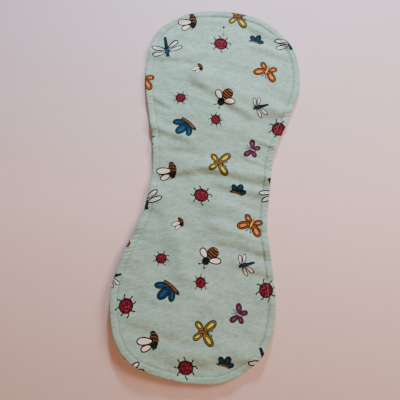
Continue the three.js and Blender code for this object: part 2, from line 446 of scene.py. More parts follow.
def egg(base, angle, length, width, root=0.35, count=26):
    """A wing: it leaves base at angle, in degrees clockwise from up, and is widest towards its tip."""
    angles = np.linspace(0, 2 * math.pi, count, endpoint=False)
    out = (1 - np.cos(angles)) / 2
    wide = np.sin(angles) * (root + (1 - root) * out) * width / 2
    wide *= 1.0 / (root + (1 - root) * 0.62)
    ahead = heading(angle)
    beside = np.array([ahead[1], -ahead[0]])
    return np.array(base) + np.outer(out * length, ahead) + np.outer(wide, beside)


def stroke(points, wide, narrow=None):
    """A line with a width at its start and its end."""
    points = np.array(points, float)
    narrow = wide if narrow is None else narrow
    ways = np.gradient(points, axis=0)
    ways /= np.linalg.norm(ways, axis=1)[:, None]
    beside = np.column_stack([ways[:, 1], -ways[:, 0]])
    widths = np.linspace(wide, narrow, len(points))[:, None] / 2
    return np.vstack([points + beside * widths, (points - beside * widths)[::-1]])


def bow(start, end, bulge, count=7):
    """Points on a curved line from start to end that swells sideways by bulge."""
    start, end = np.array(start, float), np.array(end, float)
    way = end - start
    side = np.array([way[1], -way[0]]) / np.linalg.norm(way)
    return [start + way * t + side * bulge * math.sin(math.pi * t) for t in np.linspace(0, 1, count)]


def bowed(colour, start, end, bulge, wide, narrow=None, count=7):
    """A curved line in one colour."""
    return colour, stroke(bow(start, end, bulge, count), wide, narrow)


def lined_oval(centre, size, line, fill, line_width, turn=0.0):
    inner = (size[0] - 2 * line_width, size[1] - 2 * line_width)
    return [(line, oval(centre, size, turn)), (fill, oval(centre, inner, turn))]


def lined_egg(base, angle, length, width, line, fill, line_width, root=0.35):
    start = base + heading(angle) * line_width * 1.3
    inner = egg(start, angle, length - 2.3 * line_width, width - 2 * line_width, root)
    return [(line, egg(base, angle, length, width, root)), (fill, inner)]


def both_sides(shapes):
    """The shapes, and the same mirrored across the body."""
    return shapes + [(colour, shape * (-1, 1)) for colour, shape in shapes]


def antennae(start, end, bulge, width, colour):
    knob = oval(end, (width * 1.7, width * 1.7), count=10)
    return both_sides([bowed(colour, start, end, bulge, width, width * 0.7), (colour, knob)])


def draw_bee():
    """Seen from above, its head up the page."""
    shapes = antennae((1.6, 12.4), (4.2, 17.2), -0.9, 1.5, "ink")
    shapes += lined_oval((0, -4.6), (15.0, 15.8), "bee_dark", "bee_orange", 1.2)
    for level, half in ((0.3, 6.0), (-2.9, 7.0), (-6.3, 7.0), (-9.4, 5.2)):
        shapes.append(bowed("bee_dark", (-half, level), (half, level), -1.3, 2.5, count=9))
    wings = (((1.2, 5.9), 111, 15.4, 10.0), ((-1.8, 6.6), -128, 17.0, 9.6))
    for base, angle, length, width in wings:
        shapes += lined_egg(base, angle, length, width, "ink", "wing", 1.7, root=0.65)
    shapes.append(("ink", oval((0, 9.6), (9.8, 9.2))))
    shapes.append(("ink", oval((0.4, 5.8), (5.0, 5.0))))
    return shapes


def draw_flying_bee():
    """Seen from the side, its head down the page and its wings to the left."""
    shapes = [("bee_dark", egg((7.4, -8.0), -4, 18.4, 11.4, root=0.85))]
    shapes.append(("bee_dark", egg((6.2, 6.0), -20, 6.6, 7.0, root=0.9)))
    for start, end in (((3.0, 8.4), (8.6, 7.6)), ((2.8, 5.0), (11.4, 3.4)), ((4.4, 0.6), (12.2, -0.6))):
        shapes.append(bowed("tan", start, end, -1.2, 1.3, 1.0, count=9))
    shapes.append(("ink", oval((7.2, -5.0), (7.0, 8.4), turn=12)))
    shapes.append(bowed("ink", (6.4, -8.0), (4.4, -10.8), 0.7, 1.4, 0.8))
    shapes.append(bowed("ink", (7.4, -8.0), (6.4, -11.4), 0.5, 1.1, 0.6))
    for base, angle, length, width in (((4.6, -4.6), -114, 15.0, 8.8), ((6.0, 0.4), -92, 20.6, 10.4)):
        shapes += lined_egg(base, angle, length, width, "ink", "wing", 1.7, root=0.65)
    shapes.append(bowed("wing_shade", (1.0, 0.4), (-10.0, 0.4), 0.9, 0.45))
    return shapes


def draw_ladybird():
    """Seen from above, its head up and to the left."""
    shapes = []
    legs = [
        # start, end, bulge
        ((-1.0, 6.6), (-1.8, 11.2), 0.9),
        ((-5.0, 5.2), (-8.4, 8.8), -0.6),
        ((-7.4, 0.6), (-12.4, 0.9), -1.0),
        ((-5.8, -4.8), (-8.8, -8.0), 0.8),
        ((0.4, -6.6), (1.8, -12.2), 1.0),
        ((7.6, 1.0), (12.8, -0.8), -1.2),
        ((5.6, 5.2), (8.2, 8.4), 0.8),
        ((6.2, -4.4), (9.0, -7.2), -0.6),
    ]
    for start, end, bulge in legs:
        shapes.append(bowed("leg", start, end, bulge, 1.8, 1.3))
        shapes.append(("leg", oval(end, (2.2, 2.0), count=10)))
    shapes += lined_oval((0, 0), (18.0, 16.6), "red_line", "red", 1.3, turn=-20)
    shapes.append(("red_line", stroke([(-5.6, 4.4), (0, 0.2), (6.6, -5.0)], 1.1)))
    shapes.append(bowed("red_line", (-6.8, -0.4), (-0.6, 6.8), -1.8, 1.1))
    gleams = [
        # start, end, bulge
        ((-0.4, 4.0), (3.8, 3.0), 0.7),
        ((5.6, 0.8), (5.8, -2.4), 0.5),
        ((-4.4, -0.8), (-2.8, -4.0), -0.6),
        ((-0.6, -5.6), (3.2, -5.6), -0.5),
        ((-5.4, 2.4), (-2.6, 5.0), 0.2),
        ((1.0, 1.0), (3.0, -1.6), 0.4),
    ]
    for start, end, bulge in gleams:
        shapes.append(bowed("red_light", start, end, bulge, 1.2, 0.8))
    for spot, size in (((1.4, 5.6), 2.2), ((5.4, 3.2), 2.3), ((3.2, 0.4), 2.0), ((-4.6, -3.6), 2.3),
                       ((-1.2, -3.0), 2.4), ((1.8, -6.0), 2.0), ((-2.2, 1.6), 1.8)):
        shapes.append(("red_line", oval(spot, (size, size), count=12)))
    return shapes


def butterfly_wing(base, angle, length, width, line, ring, heart):
    """A wing with a dark outline, a ring of colour and a brighter heart inside a second line."""
    band = min(2.4, width * 0.24)
    shapes = lined_egg(base, angle, length, width, line, ring, band * 0.64, root=0.7)
    start = base + heading(angle) * band * 1.6
    length -= band * 2.8
    width -= band * 2
    return shapes + lined_egg(start, angle, length, width, line, heart, band * 0.5, root=0.6)


def draw_butterfly(line, ring, heart, body, body_width, fore, hind):
    """Seen from above, its head up the page. fore and hind give each wing's angle, length and width."""
    shapes = antennae((0.6, 4.8), (3.0, 11.0), -0.6, 1.3, "leg")
    for angle, length, width in (hind, fore):
        shapes += both_sides(butterfly_wing((0.8, 0.4), angle, length, width, line, ring, heart))
    shapes += lined_egg((0, -6.8), 0, 13.2, body_width, line, body, 0.9, root=0.7)
    return shapes


def draw_orange_butterfly():
    wings = ((53, 18.8, 11.2), (126, 13.6, 8.8))
    return draw_butterfly("rust_line", "rust", "orange", "body_yellow", 3.8, *wings)


def draw_yellow_butterfly():
    wings = ((46, 19.4, 10.6), (138, 14.8, 8.8))
    return draw_butterfly("olive_line", "olive", "yellow", "tan", 5.0, *wings)


def draw_plum_butterfly():
    wings = ((62, 16.8, 10.2), (140, 14.0, 8.8))
    return draw_butterfly("plum_line", "plum", "plum_light", "wing_shade", 3.0, *wings)


def draw_folded_butterfly(line, ring, heart, body, half_length, body_width, facing, wings):
    """Seen from the side. Each wing has a base along the body, an angle and a size."""
    shapes = []
    for along, angle, length, width in wings:
        shapes += butterfly_wing((along, 0.0), angle, length, width, line, ring, heart)
    spine = bow((-half_length, 0.2), (half_length, -0.6), -1.3, count=11)
    inner = bow((-half_length + 1.2, 0.2), (half_length - 1.6, -0.4), -1.2, count=11)
    body_shapes = [
        (line, stroke(spine, body_width * 0.8, body_width)),
        (body, stroke(inner, body_width * 0.34, body_width * 0.5)),
        (line, oval((half_length, -0.6), (body_width * 0.8, body_width * 0.8), count=14)),
    ]
    for end in ((half_length + 2.8, -2.6), (half_length + 3.4, 0.2)):
        body_shapes.append(bowed(line, (half_length + 0.4, -0.8), end, 0.5, 0.8))
    return shapes + [(colour, shape * (facing, 1)) for colour, shape in body_shapes]


def draw_blue_butterfly():
    wings = ((-2.6, 232, 18.6, 9.2), (3.4, 150, 16.4, 9.0), (0.0, 189, 21.6, 12.4))
    return draw_folded_butterfly("navy_line", "blue", "blue_light", "tan", 11.5, 5.0, 1, wings)


def draw_small_blue_butterfly():
    """Its wings stand above the body, and its head is to the left."""
    wings = ((-0.6, -46, 13.4, 8.4), (2.0, 52, 11.6, 7.8), (1.0, 2, 14.6, 9.6))
    return draw_folded_butterfly("navy_line", "teal", "teal_light", "tan", 8.0, 4.0, -1, wings)


def draw_dragonfly(wings, fill, line, line_width, body, thorax, scale):
    """Seen from above, its head up the page. Each wing has a base, an angle, a length and a width."""
    shapes = []
    for across, along, angle, length, width in wings:
        base = np.array((across, along))
        shapes += lined_egg(base, angle, length, width, line, fill, line_width, root=0.7)
        ahead = heading(angle) * length
        vein = (base + ahead * 0.15, base + ahead * 0.62, width * 0.06)
        shapes.append(bowed(line, *vein, line_width * 0.5, line_width * 0.35))
    body_shapes = [
        (body, stroke([(0.2, 3.0), (0.0, -4.0), (0.0, -9.0), (0.1, -12.2)], 5.0, 2.8)),
        (body, oval((0, 5.0), (5.8, 10.0))),
        (thorax, oval((0.2, 4.6), (3.4, 7.0))),
        (body, oval((0, 10.4), (4.6, 3.6), count=14)),
    ]
    for level in (-1.0, -4.6, -8.2):
        body_shapes.append((thorax, oval((0, level), (1.5, 1.9), count=10)))
    for start, end in (((1.4, 10.6), (3.0, 13.0)), ((2.0, 8.8), (4.8, 10.8)), ((-1.2, 10.8), (-1.6, 13.4))):
        body_shapes.append(("ink", stroke([start, end], 0.9, 0.6)))
    return shapes + [(colour, shape * scale) for colour, shape in body_shapes]


def draw_large_dragonfly():
    wings = ((-1.6, 1.6, -121, 18.4, 7.4), (-1.6, 6.2, -101, 20.8, 7.6),
             (1.4, 3.0, 106, 19.8, 7.4), (1.4, 7.8, 88, 19.6, 7.4))
    return draw_dragonfly(wings, "lilac", "ink", 1.8, "navy_line", "blue", (1.14, 1.25))


def draw_small_dragonfly():
    wings = ((1.0, 7.2, 98, 13.6, 5.4), (0.9, 3.6, 112, 13.8, 5.4),
             (-1.0, 6.2, -104, 13.6, 5.4), (-1.0, 2.4, -126, 14.0, 5.6))
    return draw_dragonfly(wings, "wing", "brown_line", 1.4, "navy_line", "teal", (0.9, 0.86))


# Where each insect lies: its drawing, its turn in degrees clockwise, its size, and its places
PRINT_ROWS = [
    # drawing, turn, size, (across, along) of each
    (draw_bee, 214, 0.98, [(7.2, 118.6), (14.2, -91.6)]),
    (draw_flying_bee, -7, 1.0, [(-57.0, 221.8), (-55.1, 8.8), (-46.7, -202.2)]),
    (draw_flying_bee, -24, 0.6, [(-34.6, 154.5), (-31.6, -56.7)]),
    (draw_ladybird, -7, 1.06, [(-8.2, 195.6), (-7.3, -17.0), (1.4, -226.6)]),
    (draw_ladybird, 70, 1.06, [(82.1, 84.4), (87.2, -124.6), (-80.0, -165.0), (-89.8, 47.0)]),
    (draw_ladybird, -30, 0.78, [(-51.7, 110.2), (-46.2, -103.0)]),
    (draw_ladybird, 40, 0.78, [(-1.4, 85.9), (6.2, -125.7)]),
    (draw_orange_butterfly, 198, 1.0, [(58.8, 165.2), (61.0, -44.8), (-104.4, 131.8), (-100.2, -78.2)]),
    (draw_yellow_butterfly, 92, 1.0, [(9.0, 28.0), (16.6, -183.2), (9.8, 239.0)]),
    (draw_plum_butterfly, -71, 0.8, [(51.4, 51.8), (57.7, -158.0)]),
    (draw_blue_butterfly, 32, 1.0, [(-36.9, 76.3), (-29.3, -135.6)]),
    (draw_small_blue_butterfly, 17, 0.92, [(38.5, 203.4), (37.6, -8.4), (46.6, -219.2)]),
    (draw_large_dragonfly, 163, 1.0, [(-81.1, 180.6), (-77.8, -30.2), (-68.0, -239.0), (84.2, 213.0)]),
    (draw_large_dragonfly, 151, 1.0, [(83.8, 2.6)]),
    (draw_large_dragonfly, 156, 0.98, [(93.2, -205.8)]),
    (draw_small_dragonfly, -112, 1.0, [(55.6, 111.0), (60.2, -96.6), (-101.4, -132.2)]),
]


def printed_shapes():
    """Every shape of the print, in painting order."""
    placed = []
    for draw, turn, size, places in PRINT_ROWS:
        for place in places:
            placed += [(colour, spun(shape * size, -turn) + place) for colour, shape in draw()]
    return placed


# The flat cloth, cut into triangles that follow the rim and the print


def signed_area(loop):
    """Positive where the loop runs counter-clockwise."""
    after = np.roll(loop, -1, axis=0)
    return (loop[:, 0] * after[:, 1] - after[:, 0] * loop[:, 1]).sum() / 2


def counter_clockwise(shape):
    return shape if signed_area(shape) > 0 else shape[::-1]


def grid_points(step, least_inset):
    """Points in a triangular grid over the middle of the cloth."""
    rows = []
    level = -HALF_LENGTH
    odd = False
    while level < HALF_LENGTH + step:
        first = -HALF_WIDTH - step * (1.0 if odd else 0.5)
        across = np.arange(first, HALF_WIDTH + 2 * step, step)
        rows.append(np.column_stack([across, np.full(len(across), level)]))
        level += step * math.sqrt(0.75)
        odd = not odd
    points = np.vstack(rows)
    insets, _ = measure_to_edge(points)
    return points[insets > least_inset]


def away_from(points, shapes, clearance):
    """The points that keep clear of every shape's outline."""
    taken = set()
    for shape in shapes:
        after = np.roll(shape, -1, axis=0)
        for t in (0.0, 0.5):
            spots = np.floor((shape + (after - shape) * t) / clearance).astype(int)
            taken.update(map(tuple, spots))
    cells = np.floor(points / clearance).astype(int)
    keep = [tuple(cell) not in taken for cell in cells]
    return points[np.array(keep)]


def cut_flat(points, held_loops, shapes):
    """Triangles over the outline. Returns their corners, the triangles, and the top shape over each."""
    corners = [Vector(p) for p in EDGE[::-1]]
    edges = []
    faces = [list(range(len(EDGE)))]
    for loop in held_loops:
        first = len(corners)
        corners += [Vector(p) for p in loop]
        edges += [(first + i, first + (i + 1) % len(loop)) for i in range(len(loop))]
    for shape in shapes:
        shape = counter_clockwise(shape)
        first = len(corners)
        corners += [Vector(p) for p in shape]
        faces.append(list(range(first, first + len(shape))))
    corners += [Vector(p) for p in points]
    result = delaunay_2d_cdt(corners, edges, faces, ONLY_INSIDE, OUTER_SNAP, True)
    flat = np.array([(p[0], p[1]) for p in result[0]])
    triangles = []
    tops = []
    for triangle, inside in zip(result[2], result[5]):
        if 0 in inside:
            triangles.append(triangle)
            tops.append(max(inside) - 1)
    triangles = np.array(triangles)
    used, compact = np.unique(triangles, return_inverse=True)
    return flat[used], compact.reshape(triangles.shape), np.array(tops)


def rim_of(triangles):
    """The corners round the edge of the triangles, in order."""
    onward = {}
    sides = np.concatenate([triangles[:, [0, 1]], triangles[:, [1, 2]], triangles[:, [2, 0]]])
    present = set(map(tuple, sides))
    for a, b in present:
        if (b, a) not in present:
            onward[a] = b
    start = next(iter(onward))
    loop = [start]
    while onward[loop[-1]] != start:
        loop.append(onward[loop[-1]])
    return loop


def cut_inside(flat, loop):
    """Coarser triangles for the hidden face, on the same edge."""
    points = grid_points(INNER_STEP, INNER_INSET)
    corners = [Vector(flat[i]) for i in loop] + [Vector(p) for p in points]
    result = delaunay_2d_cdt(corners, [], [list(range(len(loop)))], ONLY_INSIDE, HIDDEN_SNAP, True)
    order = [origins[0] for origins in result[3]]
    kept = [triangle for triangle, inside in zip(result[2], result[5]) if 0 in inside]
    return points, np.array([[order[i] for i in triangle] for triangle in kept])


def bake_map(flat, shift):
    """The flat cloth laid out on one half of the square."""
    scale = 1.0 / (FLAT_LENGTH + 2 * BAKE_MARGIN)
    u = (flat[:, 0] + FLAT_WIDTH / 2 + BAKE_MARGIN) * scale + shift
    v = (flat[:, 1] + FLAT_LENGTH / 2 + BAKE_MARGIN) * scale
    return np.column_stack([u, v])


def opaque(colour):
    """An sRGB colour, 0 to 255, as Blender's own linear one."""
    shares = np.array(colour) / 255.0
    return (*np.where(shares <= 0.04045, shares / 12.92, ((shares + 0.055) / 1.055) ** 2.4), 1.0)


def add_print_layer(mesh, tops, colours):
    """The colours of the shapes on the outer face, and nothing on the hidden one."""
    ink = np.zeros((len(mesh.polygons), 3, 4), np.float32)
    outer = ink[:len(tops)]
    for number in set(tops.tolist()) - {-1}:
        outer[tops == number] = opaque(PRINT_COLOURS[colours[number]])
    layer = mesh.color_attributes.new(name="print", type="FLOAT_COLOR", domain="CORNER")
    layer.data.foreach_set("color", ink.ravel())


def add_painted_groove_shade_layer(mesh, flat):
    """Painted shade along the stitched groove: 1 along the stitches on the outer face, fading to 0 beside
    them.
    """
    painted_groove_shade = np.zeros(len(mesh.vertices), np.float32)
    insets, _ = measure_to_edge(flat)
    painted_groove_shade[:len(flat)] = np.exp(-((insets - STITCH_INSET) / PAINTED_GROOVE_SHADE_WIDTH) ** 2)
    layer = mesh.attributes.new(name="painted_groove_shade", type="FLOAT", domain="POINT")
    layer.data.foreach_set("value", painted_groove_shade)


def sheet_piece(name, side, shapes, colours):
    """One layer as a closed sheet, with the print's colours on its corners."""
    rings = [EDGE + INWARD * inset for inset in RING_INSETS]
    held = rings[:HELD_RINGS]
    points = np.vstack(rings[HELD_RINGS:] + [grid_points(GRID_STEP, GRID_INSET)])
    if shapes:
        points = away_from(points, shapes, PRINT_CLEARANCE)
    flat, outer, tops = cut_flat(points, held, shapes)
    loop = rim_of(outer)
    inner_points, inner = cut_inside(flat, loop)
    renumber = np.array(loop + list(range(len(flat), len(flat) + len(inner_points))))
    inner = renumber[inner]
    place = np.vstack([surface(flat, side), surface(inner_points, side, hidden=True)])
    if side > 0:
        outer = outer[:, ::-1]
    else:
        inner = inner[:, ::-1]
    triangles = np.vstack([outer, inner])
    mesh = bpy.data.meshes.new(name)
    mesh.from_pydata(place.tolist(), [], triangles.tolist())
    mesh.polygons.foreach_set("use_smooth", np.ones(len(triangles), bool))
    all_flat = np.vstack([flat, inner_points])
    uv = np.vstack([bake_map(all_flat, 0.0)[outer.ravel()], bake_map(all_flat, 0.5)[inner.ravel()]])
    mesh.uv_layers.new(name="OFBake").data.foreach_set("uv", uv.ravel().astype(np.float32))
    add_print_layer(mesh, tops, colours)
    add_painted_groove_shade_layer(mesh, flat)
    mesh.update()
    return add_object(name, mesh)


# Node helpers


def put(target, value):
    """Give a socket its value, or a link from the socket that feeds it."""
    if isinstance(value, bpy.types.NodeSocket):
        target.id_data.links.new(value, target)
    else:
        target.default_value = value


def add_node(tree, kind, values=None, **settings):
    node = tree.nodes.new(kind)
    for name, value in settings.items():
        setattr(node, name, value)
    for key, value in (values or {}).items():
        put(node.inputs[key], value)
    return node


def result(tree, kind, values=None, **settings):
    """The first output of a new node."""
    return add_node(tree, kind, values, **settings).outputs[0]


def arithmetic(tree, operation, *values):
    return result(tree, "ShaderNodeMath", dict(enumerate(values)), operation=operation)


def weighted_sum(tree, start, *parts):
    """start, plus each of the sources times its share."""
    total = start
    for source, share in parts:
        total = arithmetic(tree, "MULTIPLY_ADD", source, share, total)
    return total


def mixed_colour(tree, factor, first, second):
    sources = {0: factor, 6: first, 7: second}
    return add_node(tree, "ShaderNodeMix", sources, data_type="RGBA").outputs[2]


def object_place(tree):
    return add_node(tree, "ShaderNodeTexCoord").outputs["Object"]


def grain_noise(tree, vector, stretch, scale, detail=3.0):
    """Noise on coordinates that are stretched by a factor along each axis."""
    mapped = result(tree, "ShaderNodeMapping", {"Vector": vector, "Scale": stretch})
    return result(tree, "ShaderNodeTexNoise", {"Vector": mapped, "Scale": scale, "Detail": detail})


def bump(tree, height, strength, distance):
    values = {"Height": height, "Strength": strength, "Distance": distance}
    return result(tree, "ShaderNodeBump", values)


COTTON_GRAINS = [
    # stretch, scale and detail of the fibres, the tufts, the streaks and the clouds
    ((0.55, 1, 1.6), 1500.0, 4.0),
    ((0.5, 1, 1.2), 420.0, 3.0),
    ((0.3, 1, 1.4), 260.0, 3.0),
    ((0.8, 1, 1.0), 62.0, 4.0),
]
DYE_SHARES = (0.6, 0.65, 1.2)    # of the streaks, the clouds and the tufts
# How much the painted shade along the stitched groove darkens the dye
PAINTED_GROOVE_SHADE_DARKER = 0.25


def brushed_cotton_group():
    """The weave, the nap and the uneven dye of flannel, with painted shade along the stitched groove, for
    any layer of it.
    """
    tree = bpy.data.node_groups.new("brushed_cotton", "ShaderNodeTree")
    settings = [
        # name, kind, starting value
        ("Dye", "NodeSocketColor", (0.5, 0.6, 0.55, 1)),
        ("Faded Dye", "NodeSocketColor", (0.6, 0.7, 0.65, 1)),
        ("Yarn Pitch", "NodeSocketFloat", 0.6),
        ("Grain Turn", "NodeSocketFloat", 0.0),
    ]
    for name, kind, start in settings:
        socket = tree.interface.new_socket(name, in_out="INPUT", socket_type=kind)
        socket.default_value = start
    tree.interface.new_socket("Color", in_out="OUTPUT", socket_type="NodeSocketColor")
    for name in ("Nap", "Height", "Roughness"):
        tree.interface.new_socket(name, in_out="OUTPUT", socket_type="NodeSocketFloat")
    inputs = add_node(tree, "NodeGroupInput").outputs
    turn = {"Vector": object_place(tree), "Axis": (0, 1, 0), "Angle": inputs["Grain Turn"]}
    cloth = result(tree, "ShaderNodeVectorRotate", turn, rotation_type="AXIS_ANGLE")
    xyz = add_node(tree, "ShaderNodeSeparateXYZ", {0: cloth}).outputs

    # Yarns of a plain weave, over and under each other
    pitch = arithmetic(tree, "MULTIPLY", inputs["Yarn Pitch"], MM / math.pi)
    wander = grain_noise(tree, cloth, (1, 1, 1), 130.0, 2.0)
    shifted = arithmetic(tree, "MULTIPLY", wander, 0.0016)
    yarns = []
    for axis in (0, 2):
        turn = arithmetic(tree, "DIVIDE", arithmetic(tree, "ADD", xyz[axis], shifted), pitch)
        yarns.append(arithmetic(tree, "SINE", turn))
    weave = arithmetic(tree, "MULTIPLY", *yarns)

    # Brushed fibres lie across the yarns, and the weft shows as short streaks
    fibres, tufts, streaks, clouds = (grain_noise(tree, cloth, *row) for row in COTTON_GRAINS)

    # The dye is uneven, and painted shade darkens it along the stitched groove
    painted_groove_shade = add_node(tree, "ShaderNodeAttribute", attribute_name="painted_groove_shade").outputs["Fac"]
    middle = 0.5 * (1 - sum(DYE_SHARES))
    grains = zip((streaks, clouds, tufts), DYE_SHARES)
    fade = weighted_sum(tree, middle, *grains, (weave, 0.06), (painted_groove_shade, -PAINTED_GROOVE_SHADE_DARKER))
    fade = result(tree, "ShaderNodeClamp", {"Value": fade})
    add_node(tree, "NodeGroupOutput", {
        "Color": mixed_colour(tree, fade, inputs["Dye"], inputs["Faded Dye"]),
        "Nap": weighted_sum(tree, 0.0, (fibres, 0.5), (tufts, 0.5)),
        "Height": weighted_sum(tree, 0.0, (tufts, 0.6), (fibres, 0.55), (streaks, 0.5), (weave, 0.12)),
        "Roughness": weighted_sum(tree, 0.84, (fibres, 0.12)),
    })
    return tree


COTTON = brushed_cotton_group()
GRAIN_TURN = math.radians(5.9)


def new_material(name):
    material = bpy.data.materials.new(name)
    material.use_nodes = True
    tree = material.node_tree
    shader = next(node for node in tree.nodes if node.type == "BSDF_PRINCIPLED")
    return material, tree, shader


def set_inputs(shader, **values):
    for name, value in values.items():
        put(shader.inputs[name.replace("_", " ")], value)


FLANNELS = {
    # name: dye, faded dye
    "printed_flannel": ((125, 148, 139), (172, 201, 194)),
    "plain_flannel": ((127, 150, 140), (174, 202, 195)),
}


def flannel(name, printed):
    """Brushed cotton of one dye, with the print on it or plain."""
    material, tree, shader = new_material(name)
    dye, faded = FLANNELS[name]
    settings = {"Dye": opaque(dye), "Faded Dye": opaque(faded), "Grain Turn": GRAIN_TURN}
    cotton = add_node(tree, "ShaderNodeGroup", settings, node_tree=COTTON).outputs
    colour = cotton["Color"]
    if printed:
        ink = add_node(tree, "ShaderNodeAttribute", attribute_name="print").outputs
        worn = weighted_sum(tree, 1.25, (cotton["Nap"], -0.5))
        cover = arithmetic(tree, "MULTIPLY", ink["Alpha"], worn)
        cover = result(tree, "ShaderNodeClamp", {"Value": cover})
        colour = mixed_colour(tree, cover, colour, ink["Color"])
    relief = bump(tree, cotton["Height"], strength=0.6, distance=0.0006)
    set_inputs(shader, Base_Color=colour, Roughness=cotton["Roughness"], Normal=relief,
               Sheen_Weight=0.05, Sheen_Roughness=0.5, Specular_IOR_Level=0.08)
    return material


def thread():
    """Twisted polyester, a little darker than the cloth."""
    material, tree, shader = new_material("topstitch_thread")
    wave = {"Vector": object_place(tree), "Scale": 900.0, "Distortion": 1.5}
    plies = add_node(tree, "ShaderNodeTexWave", wave, bands_direction="DIAGONAL").outputs["Fac"]
    tint = mixed_colour(tree, plies, opaque((112, 138, 129)), opaque((154, 180, 170)))
    relief = bump(tree, plies, strength=0.5, distance=0.0001)
    set_inputs(shader, Base_Color=tint, Roughness=0.7, Normal=relief, Specular_IOR_Level=0.2)
    return material


def black_bead():
    material, tree, shader = new_material("black_bead")
    smear = grain_noise(tree, object_place(tree), (1, 1, 1), 900.0)
    tint = mixed_colour(tree, smear, opaque((18, 17, 20)), opaque((32, 31, 35)))
    rough = weighted_sum(tree, 0.1, (smear, 0.18))
    set_inputs(shader, Base_Color=tint, Roughness=rough, Coat_Weight=0.4, Coat_Roughness=0.06)
    return material


def pin_wire():
    material, tree, shader = new_material("pin_wire")
    drawn = grain_noise(tree, object_place(tree), (1, 0.05, 1), 9000.0)
    tint = mixed_colour(tree, drawn, opaque((168, 168, 174)), opaque((206, 206, 210)))
    rough = weighted_sum(tree, 0.15, (drawn, 0.25))
    relief = bump(tree, drawn, strength=0.2, distance=0.00003)
    set_inputs(shader, Base_Color=tint, Roughness=rough, Normal=relief, Metallic=1.0)
    return material


# Topstitching: one short, sunk length of thread for each stitch

STITCH = {"length": 3.1, "thread": 0.38, "gap": 0.6, "sink": 0.12}
STITCH_ENDS = -1.3        # in thread radii from the line that the stitches follow
STITCH_MIDDLE = 1.8


def stitch_tree(material):
    """Geometry Nodes: capsules set end to end on a closed line, turned to the surface."""
    tree = bpy.data.node_groups.new("topstitching", "GeometryNodeTree")
    tree.interface.new_socket("Geometry", in_out="INPUT", socket_type="NodeSocketGeometry")
    sizes = {"Stitch Length": STITCH["length"] * MM, "Gap": STITCH["gap"] * MM,
             "Thread Radius": STITCH["thread"] / 2 * MM, "Sink": STITCH["sink"] * MM}
    for name, start in sizes.items():
        socket = tree.interface.new_socket(name, in_out="INPUT", socket_type="NodeSocketFloat")
        socket.default_value = start
    tree.interface.new_socket("Geometry", in_out="OUTPUT", socket_type="NodeSocketGeometry")
    inputs = add_node(tree, "NodeGroupInput").outputs
    radius = inputs["Thread Radius"]

    line = result(tree, "GeometryNodeMeshToCurve", {"Mesh": inputs["Geometry"]})
    spacing = {"Curve": line, "Length": inputs["Stitch Length"]}
    spaced = result(tree, "GeometryNodeResampleCurve", spacing, mode="LENGTH")
    points = add_node(tree, "GeometryNodeCurveToPoints", {"Curve": spaced}, mode="EVALUATED").outputs
    facing = result(tree, "GeometryNodeInputNamedAttribute", {"Name": "facing"}, data_type="FLOAT_VECTOR")
    axes = {"Primary Axis": facing, "Secondary Axis": points["Tangent"]}
    turn = result(tree, "FunctionNodeAxesToRotation", axes, primary_axis="Z", secondary_axis="X")

    # One stitch: a tube on a shallow bow, its ends drawn into the cloth
    half = arithmetic(tree, "SUBTRACT", inputs["Stitch Length"], inputs["Gap"])
    half = arithmetic(tree, "MULTIPLY", half, 0.5)
    back = arithmetic(tree, "MULTIPLY", half, -1.0)
    low = arithmetic(tree, "MULTIPLY", radius, STITCH_ENDS)
    low = arithmetic(tree, "SUBTRACT", low, inputs["Sink"])
    high = arithmetic(tree, "MULTIPLY", radius, STITCH_MIDDLE)
    bend = {"Resolution": 5}
    for key, across, up in (("Start", back, low), ("Middle", 0.0, high), ("End", half, low)):
        bend[key] = result(tree, "ShaderNodeCombineXYZ", {0: across, 2: up})
    spine = result(tree, "GeometryNodeCurveQuadraticBezier", bend)
    ring = result(tree, "GeometryNodeCurvePrimitiveCircle", {"Resolution": 6, "Radius": radius})
    skin = {"Curve": spine, "Profile Curve": ring, "Fill Caps": True}
    tube = result(tree, "GeometryNodeCurveToMesh", skin)

    scatter = {"Points": points["Points"], "Instance": tube, "Rotation": turn}
    threads = result(tree, "GeometryNodeInstanceOnPoints", scatter)
    threads = result(tree, "GeometryNodeRealizeInstances", {0: threads})
    threads = result(tree, "GeometryNodeSetShadeSmooth", {0: threads})
    threads = result(tree, "GeometryNodeSetMaterial", {0: threads, "Material": material})
    add_node(tree, "NodeGroupOutput", {0: threads})
    return tree


def stitches(name, side, tree):
    """The stitch line on one layer, made into thread."""
    flat, _ = even_steps(EDGE + INWARD * STITCH_INSET, EDGE_POINTS)
    upward = surface(flat + (0.0, 1.0), side) - surface(flat - (0.0, 1.0), side)
    sideways = surface(flat + (1.0, 0.0), side) - surface(flat - (1.0, 0.0), side)
    facing = np.cross(sideways, upward) * -side
    facing /= np.linalg.norm(facing, axis=1)[:, None]
    place = surface(flat, side) + facing * STITCH["thread"] / 2 * MM
    count = len(place)
    mesh = bpy.data.meshes.new(name + "_line")
    mesh.from_pydata(place.tolist(), [(i, (i + 1) % count) for i in range(count)], [])
    attribute = mesh.attributes.new("facing", "FLOAT_VECTOR", "POINT")
    attribute.data.foreach_set("vector", facing.ravel())
    line = add_object(name + "_line", mesh)
    modifier = line.modifiers.new("topstitching", "NODES")
    modifier.node_group = tree
    graph = bpy.context.evaluated_depsgraph_get()
    threads = line.evaluated_get(graph)
    made = bpy.data.meshes.new_from_object(threads, preserve_all_data_layers=True, depsgraph=graph)
    line.modifiers.remove(modifier)
    bpy.data.objects.remove(line)
    made.name = name
    return add_object(name, made)


# The pin, turned round its own axis, which runs along Y

PIN = {"radius": 0.35, "head_radius": 1.6, "head_centre": -9.5, "end_past_centre": 0.5, "bevel": 0.05,
       "shoulder": 0.5, "tip": 18.0, "taper": 5.0}
HEAD_SOCKET = {"radius": 0.45, "lip": 0.62, "lip_depth": 0.06, "depth": 1.1}
PIN_SIDES = 40
HEAD_STEPS = 24
SHAFT_RINGS = 5


